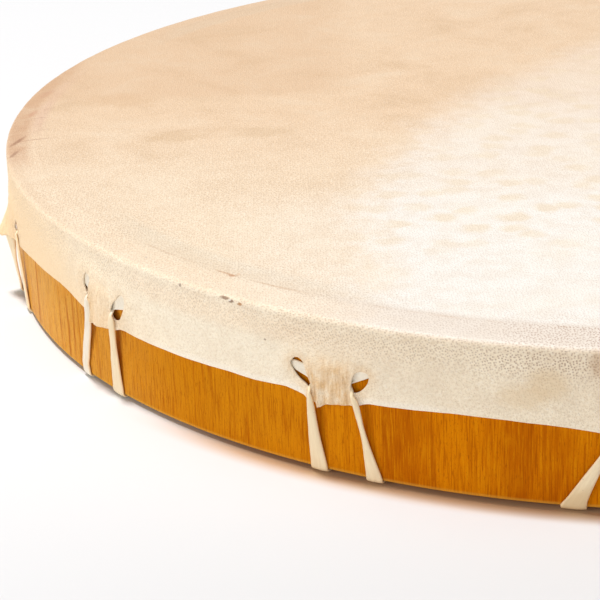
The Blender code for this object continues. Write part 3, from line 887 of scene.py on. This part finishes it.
class Graph:
    """Short names for building a node material."""

    def __init__(self, name):
        self.material = bpy.data.materials.new(name)
        self.material.use_nodes = True
        self.tree = self.material.node_tree
        self.shader = next(n for n in self.tree.nodes if n.type == "BSDF_PRINCIPLED")

    def node(self, kind, inputs=None, **settings):
        n = self.tree.nodes.new(kind)
        for key, value in settings.items():
            setattr(n, key, value)
        for key, value in (inputs or {}).items():
            self.put(n.inputs[key], value)
        return n

    def put(self, socket, value):
        if isinstance(value, bpy.types.NodeSocket):
            self.tree.links.new(value, socket)
        else:
            socket.default_value = value

    def attribute(self, name):
        return self.node("ShaderNodeAttribute", attribute_name=name).outputs["Vector"]

    def split(self, vector):
        n = self.node("ShaderNodeSeparateXYZ", {0: vector})
        return n.outputs[0], n.outputs[1], n.outputs[2]

    def join(self, x, y, z=0.0):
        return self.node("ShaderNodeCombineXYZ", {0: x, 1: y, 2: z}).outputs[0]

    def math(self, what, a, b=0.0, c=0.0, clamp=False):
        return self.node("ShaderNodeMath", {0: a, 1: b, 2: c}, operation=what, use_clamp=clamp).outputs[0]

    def add(self, a, b):
        return self.math("ADD", a, b)

    def sub(self, a, b):
        return self.math("SUBTRACT", a, b)

    def mul(self, a, b):
        return self.math("MULTIPLY", a, b)

    def both(self, *values):
        total = values[0]
        for v in values[1:]:
            total = self.mul(total, v)
        return total

    def vector(self, what, a, b=(0, 0, 0)):
        n = self.node("ShaderNodeVectorMath", {0: a, 1: b}, operation=what)
        return n.outputs["Value"] if what in ("DISTANCE", "LENGTH", "DOT_PRODUCT") else n.outputs["Vector"]

    def step(self, value, low, high, to_low=0.0, to_high=1.0):
        """A smooth step of value from low to high (which may be the smaller)."""
        flip = low > high
        if flip:
            low, high, to_low, to_high = high, low, to_high, to_low
        n = self.node(
            "ShaderNodeMapRange", {0: value, 1: low, 2: high, 3: to_low, 4: to_high}, interpolation_type="SMOOTHSTEP"
        )
        return n.outputs[0]

    def band(self, value, low, high, soft):
        return self.mul(self.step(value, low - soft, low + soft), self.step(value, high + soft, high - soft))

    def noise(self, vector, scale, detail=2.0, rough=0.5, twist=0.0, dims="3D"):
        n = self.node(
            "ShaderNodeTexNoise",
            {"Vector": vector, "Scale": scale, "Detail": detail, "Roughness": rough, "Distortion": twist},
            noise_dimensions=dims,
        )
        return n.outputs[0]

    def cells(self, vector, scale, random_share=1.0, feature="F1", dims="2D"):
        n = self.node(
            "ShaderNodeTexVoronoi",
            {"Vector": vector, "Scale": scale, "Randomness": random_share},
            feature=feature,
            voronoi_dimensions=dims,
        )
        return n.outputs["Distance"], n.outputs["Color"]

    def mix(self, share, a, b, how="MIX"):
        n = self.node("ShaderNodeMix", data_type="RGBA", blend_type=how, clamp_factor=True)
        self.put(n.inputs[0], share)
        for socket, value in ((n.inputs[6], a), (n.inputs[7], b)):
            self.put(socket, value if isinstance(value, bpy.types.NodeSocket) else (*value, 1.0))
        return n.outputs[2]

    def bump(self, height, distance, strength=1.0, normal=None):
        n = self.node("ShaderNodeBump", {"Strength": strength, "Distance": distance, "Height": height})
        if normal is not None:
            self.put(n.inputs["Normal"], normal)
        return n.outputs[0]

    def finish(self, colour, roughness, normal, **constants):
        self.put(self.shader.inputs["Base Color"], colour)
        self.put(self.shader.inputs["Roughness"], roughness)
        self.put(self.shader.inputs["Normal"], normal)
        for key, value in constants.items():
            self.shader.inputs[key].default_value = value
        return self.material


def skin_material():
    g = Graph("rawhide_skin")
    xy = g.attribute("skin_xy")
    x, y, _ = g.split(xy)
    crease, above_hem, height = g.split(g.attribute("skin_about"))
    side_of, cut, stain = g.split(g.attribute("skin_kind"))

    cloud = g.noise(xy, 7.0, 3.0, 0.55, 0.4)
    patch = g.noise(xy, 26.0, 4.0, 0.6, 0.6)
    mottle = g.noise(xy, 120.0, 4.0, 0.65)
    fine = g.noise(xy, 620.0, 2.0, 0.6)

    tan = (0.755, 0.555, 0.375)
    deep = (0.60, 0.41, 0.24)
    cream = (0.82, 0.67, 0.50)
    pale = (0.815, 0.775, 0.72)

    # warm tan at the back and left, cream towards the front rim
    front = g.step(g.add(y, g.mul(g.sub(cloud, 0.5), 0.10)), 0.02, -0.16)
    colour = g.mix(front, tan, cream)
    smoke = g.mul(g.step(patch, 0.50, 0.72), g.step(y, -0.16, 0.0))
    colour = g.mix(g.mul(smoke, 0.42), colour, deep)
    # the pale belly of the hide, right of a curved and ragged border
    ahead, behind = g.math("MAXIMUM", g.add(y, 0.150), 0.0), g.math("MINIMUM", g.add(y, 0.150), 0.0)
    border = g.add(g.math("MULTIPLY_ADD", g.mul(ahead, ahead), 1.95, -0.1135), g.mul(behind, 0.08))
    ragged = g.add(g.mul(g.sub(patch, 0.5), 0.034), g.mul(g.sub(mottle, 0.5), 0.022))
    past = g.add(g.sub(x, border), ragged)
    inside = g.add(g.step(past, -0.016, 0.020, 0.0, 0.72), g.mul(g.step(past, -0.062, -0.014, 0.0, 0.28), g.step(y, -0.09, -0.13)))
    far_side = g.step(g.add(x, g.mul(g.sub(cloud, 0.5), 0.12)), 0.17, 0.11)
    old = g.step(x, -0.215, -0.255)
    belly = g.both(inside, far_side, g.step(crease, 0.8, -1.2))
    # the side keeps the colour of new rawhide, warmer towards the left
    fresh = g.mix(g.step(x, -0.10, -0.15), (0.91, 0.79, 0.605), (0.95, 0.845, 0.665))
    fresh = g.mix(g.step(x, -0.185, -0.238), fresh, (0.94, 0.745, 0.505))
    butter = g.mul(g.band(crease, 2.5, 10.0, 2.5), g.step(x, -0.10, -0.15))
    fresh = g.mix(g.both(butter, g.step(x, -0.205, -0.19), 0.35), fresh, (0.96, 0.70, 0.46))
    colour = g.mix(g.step(crease, -1.0, 2.0), colour, fresh)
    grey = g.mul(g.band(crease, -22.0, -10.5, 2.0), g.step(x, -0.205, -0.185))
    colour = g.mix(g.mul(grey, 0.28), colour, (0.64, 0.61, 0.50))
    strength = g.step(g.add(y, g.mul(g.sub(patch, 0.5), 0.08)), 0.07, -0.07, 0.45, 1.0)
    colour = g.mix(g.mul(belly, strength), colour, pale)
    # tan marks the size of a fingertip on the pale part
    near, shade = g.cells(g.join(g.mul(x, 0.88), y), 79.0, 0.95)
    shade_x, _, _ = g.split(shade)
    mark = g.both(
        g.step(g.add(near, g.mul(g.sub(mottle, 0.5), 0.62)), 0.50, 0.13),
        g.step(shade_x, 0.08, 0.50),
        g.step(y, -0.185, -0.14),
        belly,
    )
    colour = g.mix(g.mul(mark, 0.52), colour, (0.76, 0.62, 0.43))
    # soft unevenness everywhere, and a fine grain
    pebble = g.noise(xy, 900.0, 3.0, 0.7)
    plain = g.mul(g.math("SUBTRACT", 1.0, g.mul(belly, 0.8)), g.step(y, 0.03, -0.10, 0.65, 1.0))
    colour = g.mix(g.mul(g.step(pebble, 0.54, 0.34, 0.0, 0.27), plain), colour, (0.52, 0.36, 0.22))
    colour = g.mix(g.mul(g.step(pebble, 0.50, 0.70, 0.0, 0.32), plain), colour, (0.93, 0.87, 0.77))
    colour = g.mix(g.step(mottle, 0.62, 0.36, 0.0, 0.16), colour, (0.60, 0.44, 0.29))
    colour = g.mix(g.step(patch, 0.52, 0.30, 0.0, 0.20), colour, (0.79, 0.70, 0.56))

    colour = g.mix(g.mul(old, g.step(crease, -1.0, 3.0)), colour, (0.90, 0.67, 0.41))
    # hair follicles: dark dots, plainest over the rim
    dot, dot_colour = g.cells(xy, 1130.0, 0.72)
    dot_share, _, _ = g.split(dot_colour)
    pore = g.mul(g.step(dot, 0.41, 0.16), g.step(dot_share, 0.0, 0.6, 0.45, 1.0))
    radius = g.vector("LENGTH", xy)
    right = g.step(g.add(x, g.mul(g.sub(patch, 0.5), 0.05)), -0.10, -0.03)
    over_rim = g.band(crease, -13.5, -0.8, 1.0)
    below = g.mul(g.step(crease, -0.6, 3.6), g.step(crease, 13.0, 4.0))
    weight = g.add(g.mul(g.step(crease, 14.0, 6.0), g.mul(g.sub(0.20, g.mul(belly, 0.14)), g.step(y, 0.0, -0.10, 0.6, 1.0))), 0.05)
    weight = g.add(weight, g.mul(g.band(crease, -24.0, -1.0, 6.0), g.add(0.06, g.mul(right, 0.18))))
    weight = g.add(weight, g.mul(over_rim, g.add(0.04, g.mul(right, 0.60))))
    weight = g.add(weight, g.both(below, g.step(x, -0.215, -0.185, 0.2, 1.0), g.add(g.step(x, -0.13, -0.09, 0.05, 0.16), g.mul(right, 0.44))))
    weight = g.add(weight, g.mul(g.band(crease, -13.0, -11.6, 0.5), g.add(0.05, g.mul(right, 0.22))))
    weight = g.mul(weight, g.step(patch, 0.28, 0.60, 0.55, 1.15))
    tone = g.mul(g.step(x, -0.150, -0.100), g.band(crease, -14.5, -0.3, 2.0))
    colour = g.mix(g.mul(tone, 0.68), colour, (0.68, 0.585, 0.495))
    colour = g.mix(g.mul(pore, weight), colour, g.mix(g.step(x, -0.14, -0.06), (0.27, 0.165, 0.105), (0.38, 0.235, 0.165)))

    middle = g.both(g.band(crease, -18.0, -1.0, 3.0), g.step(x, -0.215, -0.180), g.step(x, -0.10, -0.14))
    colour = g.mix(g.mul(middle, 0.17), colour, (0.66, 0.48, 0.32))
    handled = g.math("MAXIMUM", g.step(x, -0.085, -0.105), g.step(x, -0.085, -0.062))
    handled = g.both(handled, g.band(crease, 2.0, 17.0, 3.0), g.step(x, -0.160, -0.135))
    colour = g.mix(g.mul(handled, 0.14), colour, (0.64, 0.47, 0.31))

    # rim: a painted highlight line above the outer crease, a tan one along it
    crease_highlight = g.mul(g.band(crease, -4.0, -1.4, 1.3), g.step(patch, 0.30, 0.62, 0.5, 1.0))
    colour = g.mix(g.both(crease_highlight, g.step(x, -0.23, -0.18), 0.12), colour, (0.88, 0.81, 0.70))
    # painted highlight: the sloping band between the bearing edge and the outer crease is painted lighter
    band_highlight = g.both(g.band(crease, -11.0, -3.0, 1.5), g.step(x, -0.20, -0.14), g.step(x, -0.09, -0.13))
    colour = g.mix(g.mul(band_highlight, 0.12), colour, (0.87, 0.78, 0.66))
    line = g.mul(g.band(crease, 1.2, 2.7, 0.6), g.step(patch, 0.36, 0.66, 0.25, 1.0))
    colour = g.mix(g.both(line, g.step(x, -0.215, -0.185, 0.15, 1.0), g.step(x, -0.165, -0.125, 0.34, 0.06)), colour, (0.60, 0.39, 0.23))
    # painted shade: at the left the crease's highlight is painted out with a darker brown along the crease
    left_crease_shade = g.mul(g.step(x, -0.185, -0.222), g.band(crease, -4.5, 1.0, 1.3))
    colour = g.mix(g.mul(left_crease_shade, 0.14), colour, (0.63, 0.43, 0.26))
    inner = g.mul(g.band(crease, -12.9, -12.0, 0.5), g.step(g.noise(xy, 48.0, 3.0), 0.46, 0.62))
    colour = g.mix(g.both(inner, g.step(x, -0.215, -0.19, 0.3, 1.0), 0.42), colour, (0.52, 0.33, 0.20))

    # reddish hair streaks over the rim at the left
    stretch = g.join(g.mul(radius, 70.0), g.mul(g.math("ARCTAN2", y, x), 150.0), 0.0)
    hair = g.noise(stretch, 1.0, 3.0, 0.6, 0.5)
    left = g.both(g.step(x, -0.224, -0.240), g.band(y, -0.052, 0.13, 0.018), g.step(crease, 4.0, -1.0))
    edge_zone = g.mul(g.band(crease, -8.5, 0.5, 2.5), g.step(mottle, 0.30, 0.62, 0.45, 1.0))
    colour = g.mix(g.both(left, edge_zone, 0.70), colour, (0.52, 0.30, 0.175))
    flush = g.both(left, g.band(crease, -14.0, -9.0, 2.0), g.step(y, -0.03, 0.0))
    colour = g.mix(g.mul(flush, 0.35), colour, (0.62, 0.39, 0.30))
    colour = g.mix(g.both(left, g.step(hair, 0.56, 0.70), 0.40), colour, (0.36, 0.19, 0.13))

    # single marks near the front rim: (r, turn, radius, share, colour)
    def spot(rho, turn, size, share, tint, stretch=1.0, lean=0.0, wild=0.0):
        nonlocal colour
        a = math.radians(turn)
        cx, cy = rho * MM * math.cos(a), rho * MM * math.sin(a)
        d = g.vector("SUBTRACT", xy, (cx, cy, 0))
        dx, dy, _ = g.split(d)
        b = a + math.pi / 2 + math.radians(lean)
        along = g.add(g.mul(dx, math.cos(b)), g.mul(dy, math.sin(b)))
        out = g.sub(g.mul(dy, math.cos(b)), g.mul(dx, math.sin(b)))
        far = g.vector("LENGTH", g.join(g.mul(along, 1 / stretch), out))
        far = g.add(far, g.mul(g.sub(fine, 0.5), min(size, 3.0) * MM * 0.9))
        if wild:
            far = g.add(far, g.mul(g.sub(mottle, 0.5), size * MM * wild))
        colour = g.mix(g.mul(g.step(far, size * MM, size * MM * 0.35), share), colour, tint)

    spot(251.9, 225.96, 0.95, 0.75, (0.27, 0.20, 0.15))
    spot(251.6, 230.36, 0.78, 0.80, (0.23, 0.125, 0.07), 3.2)
    spot(252.1, 230.95, 0.72, 0.85, (0.20, 0.11, 0.065), 2.0, 12)
    spot(252.3, 231.72, 0.72, 0.85, (0.42, 0.19, 0.06), 2.0, 8)
    spot(251.85, 230.80, 0.42, 0.9, (0.84, 0.77, 0.68), 1.6, 10)
    spot(239.4, 228.60, 1.0, 0.70, (0.46, 0.22, 0.11), 2.0)
    spot(237.6, 228.9, 1.7, 0.30, (0.62, 0.36, 0.20), 0.5, 20)
    spot(238.9, 228.0, 0.60, 0.60, (0.50, 0.28, 0.15), 11.0)
    spot(238.9, 232.2, 0.50, 0.55, (0.50, 0.31, 0.18), 18.0)
    spot(245.3, 220.45, 0.70, 0.45, (0.42, 0.36, 0.32), 1.2)
    spot(245.0, 220.95, 0.45, 0.35, (0.45, 0.39, 0.34), 1.2)
    spot(262.0, 233.86, 0.50, 0.70, (0.30, 0.20, 0.14), 1.4)
    spot(262.7, 254.6, 7.0, 0.50, (0.74, 0.545, 0.32), 1.3)
    spot(267.5, 252.9, 5.5, 0.46, (0.76, 0.57, 0.35), 2.0)
    spot(255.0, 257.75, 6.0, 0.42, (0.50, 0.30, 0.16), 0.5)

    # the brown strokes over the rim at the far left, and the clouds on the head behind them
    spot(246.6, 185.9, 1.6, 0.78, (0.35, 0.185, 0.115), 5.2, -27, 0.8)
    spot(248.1, 189.5, 1.4, 0.72, (0.37, 0.21, 0.135), 4.4, -23, 0.8)
    spot(244.0, 177.3, 2.0, 0.42, (0.55, 0.29, 0.19), 3.0, -11, 1.0)
    spot(245.0, 170.5, 3.4, 0.50, (0.52, 0.28, 0.18), 2.6, -11, 1.0)
    spot(186.4, 189.3, 10.0, 0.34, (0.56, 0.38, 0.215), 1.4, 80, 1.3)
    spot(151.5, 190.2, 10.5, 0.30, (0.56, 0.39, 0.23), 1.5, 80, 1.3)
    spot(209.5, 173.2, 13.5, 0.36, (0.60, 0.39, 0.22), 1.5, 80, 1.2)
    back = g.both(g.step(y, 0.020, 0.034), g.step(x, -0.10, -0.13), g.step(mottle, 0.25, 0.6, 0.5, 1.0))
    colour = g.mix(g.mul(back, 0.36), colour, (0.62, 0.405, 0.245))
    # staining and handling round the holes
    dirt = g.mul(stain, g.step(g.noise(xy, 210.0, 4.0, 0.65), 0.30, 0.66, 0.45, 1.0))
    colour = g.mix(g.mul(dirt, 0.80), colour, (0.69, 0.40, 0.145))
    # fine wrinkles run down the tabs; painted shade darkens their grooves and a painted highlight lightens their
    # crests
    down = g.join(g.mul(g.math("ARCTAN2", y, x), 0.25), g.mul(radius, 0.17), 0.0)
    wrinkle = g.noise(down, 950.0, 3.0, 0.6, 0.3)
    colour = g.mix(g.both(stain, g.step(wrinkle, 0.50, 0.68), 0.48), colour, (0.46, 0.26, 0.12))
    colour = g.mix(g.both(stain, g.step(wrinkle, 0.48, 0.34), 0.40), colour, (0.95, 0.84, 0.66))
    # the cut edge at the hem is paler, and the skin just above the hem is painted lighter, a painted highlight along
    # the hem
    colour = g.mix(g.both(g.step(above_hem, 2.6, 0.8), g.step(x, -0.215, -0.195), g.step(x, -0.085, -0.12), g.step(stain, 0.45, 0.05), 0.5), colour, (0.94, 0.865, 0.75))
    colour = g.mix(g.mul(cut, 0.75), colour, (0.86, 0.74, 0.56))
    # flesh side: whiter, with faint fibres
    fibre = g.noise(xy, 300.0, 4.0, 0.7, 1.5)
    flesh = g.mix(g.step(fibre, 0.3, 0.7), (0.68, 0.57, 0.43), (0.76, 0.68, 0.56))
    flesh = g.mix(g.step(patch, 0.4, 0.75, 0.0, 0.5), flesh, (0.62, 0.47, 0.31))
    colour = g.mix(g.step(side_of, 0.6, 0.9), colour, flesh)

    grain = g.noise(xy, 1500.0, 3.0, 0.6)
    level = g.add(g.mul(grain, 0.35), g.mul(pebble, 0.9))
    level = g.sub(level, g.mul(g.step(dot, 0.42, 0.08), 0.6))
    level = g.sub(level, g.mul(g.mul(stain, wrinkle), 1.5))
    normal = g.bump(level, 0.00030, 0.58)
    rough = g.step(fine, 0.3, 0.7, 0.46, 0.60)
    return g.finish(colour, rough, normal, **{"Specular IOR Level": 0.28, "IOR": 1.45})


def wood_material():
    g = Graph("lacquered_wood_finish")
    p = g.attribute("grain")
    x, y, z = g.split(p)
    turn = g.math("ARCTAN2", y, x)
    # the grain runs down the hoop's side; coordinates go round in metres of its side
    ring = g.join(x, y, g.mul(z, 0.035))
    bands = g.noise(ring, 60.0, 3.0, 0.55)
    streaks = g.noise(g.join(x, y, g.mul(z, 0.035)), 330.0, 3.0, 0.6)
    fibres = g.noise(g.join(x, y, g.mul(z, 0.045)), 2250.0, 2.0, 0.65)
    speckle = g.noise(g.join(x, y, g.mul(z, 0.4)), 2600.0, 1.0, 0.6)
    flame = g.noise(g.join(x, y, g.mul(z, 1.3)), 70.0, 3.0, 0.5, 0.8)
    fleck, _ = g.cells(g.join(x, y, g.mul(z, 0.22)), 760.0, 1.0, dims="3D")

    colour = g.mix(g.step(bands, 0.36, 0.62), (0.47, 0.113, 0.0008), (0.635, 0.192, 0.0014))
    # painted reflection: the hoop is painted lighter and yellower towards the left, where its lacquer reflects the
    # bright surroundings
    colour = g.mix(g.mul(g.step(x, -0.095, -0.165), 0.75), colour, (0.596, 0.228, 0.006))
    colour = g.mix(g.mul(g.step(x, -0.170, -0.245), 0.85), colour, (0.81, 0.435, 0.085))
    colour = g.mix(g.step(streaks, 0.50, 0.70, 0.0, 0.66), colour, (0.395, 0.087, 0.001))
    colour = g.mix(g.step(flame, 0.48, 0.74, 0.0, 0.35), colour, (0.645, 0.225, 0.003))
    colour = g.mix(g.step(fibres, 0.50, 0.70, 0.0, 0.62), colour, (0.325, 0.064, 0.001))
    colour = g.mix(g.step(fibres, 0.50, 0.30, 0.0, 0.46), colour, (0.73, 0.285, 0.004))
    colour = g.mix(g.step(speckle, 0.55, 0.75, 0.0, 0.45), colour, (0.36, 0.075, 0.001))
    colour = g.mix(g.step(fleck, 0.20, 0.07, 0.0, 0.45), colour, (0.27, 0.060, 0.002))
    # painted highlight: the lower arris is painted lighter and yellower, as where it catches the light
    arris_highlight = g.step(z, 0.0030, 0.0016)
    colour = g.mix(g.mul(arris_highlight, 0.65), colour, (0.74, 0.40, 0.055))
    normal = g.bump(g.add(g.mul(streaks, 0.6), g.mul(fibres, 0.4)), 0.00005, 0.30)
    rough = g.step(streaks, 0.3, 0.7, 0.24, 0.34)
    return g.finish(colour, rough, normal, **{"IOR": 1.055, "Specular IOR Level": 0.4})


def lace_material():
    g = Graph("rawhide_lace_finish")
    about = g.attribute("lace")
    s, x, face = g.split(about)
    place = g.node("ShaderNodeTexCoord").outputs["Object"]
    turned = g.vector("ADD", g.join(g.mul(s, 0.12), x, 0.0), g.vector("MULTIPLY", place, (0.02, 0.02, 0.0)))
    streak = g.noise(turned, 900.0, 3.0, 0.6)
    cloud = g.noise(place, 110.0, 3.0, 0.6)
    along, _, up = g.split(place)
    white = g.mix(g.step(streak, 0.35, 0.7), (0.79, 0.70, 0.56), (0.86, 0.79, 0.66))
    amber = g.mix(g.step(streak, 0.35, 0.7), (0.81, 0.655, 0.43), (0.88, 0.735, 0.495))
    bleached = g.mul(g.step(along, -0.203, -0.210), g.step(along, -0.240, -0.230))
    inside = g.step(up, 0.0308, 0.0325)
    bleached = g.math("MAXIMUM", bleached, g.mul(inside, g.step(along, -0.240, -0.232)))
    # painted shade: where the first lace shows in its hole it is painted dark brown, as the shaded wood behind it
    amber = g.mix(g.both(inside, g.step(along, -0.232, -0.240), 0.9), amber, (0.26, 0.085, 0.025))
    colour = g.mix(bleached, amber, white)
    colour = g.mix(g.both(g.step(along, -0.09, -0.06), g.step(up, 0.011, 0.005), 0.6), colour, (0.66, 0.47, 0.24))
    colour = g.mix(g.step(cloud, 0.52, 0.78, 0.0, 0.5), colour, (0.80, 0.62, 0.38))
    colour = g.mix(g.step(face, 0.96, 0.66, 0.0, 0.75), colour, (0.92, 0.68, 0.40))
    speck, _ = g.cells(place, 420.0, 1.0, dims="3D")
    colour = g.mix(g.step(speck, 0.10, 0.05, 0.0, 0.5), colour, (0.38, 0.27, 0.17))
    normal = g.bump(g.add(g.mul(streak, 0.6), g.mul(cloud, 0.4)), 0.00012, 0.5)
    return g.finish(colour, g.step(cloud, 0.3, 0.7, 0.34, 0.48), normal, **{"Specular IOR Level": 0.4})


def steel_material():
    g = Graph("ring_steel_finish")
    a, b, _ = g.split(g.attribute("metal"))
    brushed = g.noise(g.join(g.mul(a, 0.05), b, 0.0), 5200.0, 2.0, 0.6)
    dull = g.noise(g.join(a, b, 0.0), 240.0, 4.0, 0.6)
    colour = g.mix(g.step(dull, 0.4, 0.7), (0.60, 0.60, 0.61), (0.47, 0.465, 0.46))
    normal = g.bump(brushed, 0.00003, 0.4)
    return g.finish(colour, g.step(dull, 0.3, 0.7, 0.26, 0.42), normal, **{"Metallic": 1.0})


def floor_material():
    g = Graph("paper_ground")
    place = g.node("ShaderNodeTexCoord").outputs["Object"]
    across, back, _ = g.split(place)
    # painted shade: the sweep is painted a little darker towards the front right, where less light falls
    far = g.sub(g.add(back, g.mul(g.noise(place, 3.0, 2.0), 0.03)), g.mul(across, 0.8))
    colour = g.mix(g.step(far, -0.26, 0.10), (0.640, 0.638, 0.642), (0.735, 0.737, 0.745))
    # painted shadow: beside the hoop's front the ground is painted a warm dark brown, standing in for the contact
    # shadow and the wood's warm bounce
    near = g.step(g.vector("LENGTH", g.join(across, back)), 0.2595, 0.2515)
    colour = g.mix(g.both(near, g.step(back, -0.160, -0.205), 0.80), colour, (0.54, 0.30, 0.11))
    normal = g.bump(g.noise(place, 900.0, 2.0), 0.00002, 0.3)
    return g.finish(colour, 0.85, normal, **{"Specular IOR Level": 0.2})


# ---------------------------------------------------------------- the drum

skin = build_skin(skin_material())
hoop = build_hoop(wood_material())
lace_finish = lace_material()
laces = [build_lace(i + 1, pair, lace_finish) for i, pair in enumerate(PAIRS)]
ring = build_ring(steel_material())

for piece, node, slot in [(skin, "drumhead", "rawhide"), (hoop, "hoop", "lacquered_wood"), (ring, "hand_ring", "ring_steel")] + [
    (lace, f"lace_{i + 1:02d}", "rawhide_lace") for i, lace in enumerate(laces)
]:
    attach(piece, "root")
    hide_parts(node)

# ---------------------------------------------------------------- ground, light, camera

ground = bpy.data.meshes.new("ground")
size = 4.0
ground.from_pydata([(-size, -size, 0), (size, -size, 0), (size, size, 0), (-size, size, 0)], [], [(0, 1, 2, 3)])
ground.materials.append(floor_material())
ground_object = bpy.data.objects.new("ground", ground)
bpy.context.scene.collection.objects.link(ground_object)

world = bpy.data.worlds.new("studio")
world.use_nodes = True
back = next(n for n in world.node_tree.nodes if n.type == "BACKGROUND")
back.inputs["Color"].default_value = (1.0, 1.0, 1.0, 1.0)
back.inputs["Strength"].default_value = 0.25
bpy.context.scene.world = world


def softbox(name, place, target, width, power, colour=(1, 1, 1)):
    light = bpy.data.lights.new(name, "AREA")
    light.shape = "SQUARE"
    light.size = width
    light.energy = power
    light.color = colour
    obj = bpy.data.objects.new(name, light)
    obj.location = place
    obj.rotation_euler = (Vector(target) - Vector(place)).to_track_quat("-Z", "Y").to_euler()
    bpy.context.scene.collection.objects.link(obj)


softbox("top", (-0.84, 0.25, 5.0), (-0.12, -0.1, 0.0), 0.75, 260.0, (1.0, 0.99, 0.985))
softbox("key", (-2.80, -1.33, 0.75), (-0.15, -0.1, 0.03), 1.3, 29.5, (1.0, 0.98, 0.95))
softbox("fill", (-0.85, -4.0, 1.0), (-0.12, -0.2, 0.03), 2.0, 29.5, (1.0, 1.0, 1.0))

camera_data = bpy.data.cameras.new("camera")
camera_data.lens = 111.94
camera_data.sensor_width = 36.0
camera_data.clip_start, camera_data.clip_end = 0.01, 30.0
camera = bpy.data.objects.new("camera", camera_data)
pitch, roll = math.radians(22.24), math.radians(-2.20)
forward = Vector((0, math.cos(pitch), -math.sin(pitch)))
right, up = Vector((1, 0, 0)), Vector((0, math.sin(pitch), math.cos(pitch)))
cam_x = right * math.cos(roll) + up * math.sin(roll)
cam_y = -right * math.sin(roll) + up * math.cos(roll)
rotation = Matrix((cam_x, cam_y, -forward)).transposed()
camera.matrix_world = Matrix.Translation((-0.137, -0.72816, 0.26889)) @ rotation.to_4x4()
bpy.context.scene.collection.objects.link(camera)
bpy.context.scene.camera = camera

bpy.context.scene.view_settings.view_transform = "Standard"
bpy.context.scene.view_settings.look = "None"

bpy.context.view_layer.update()
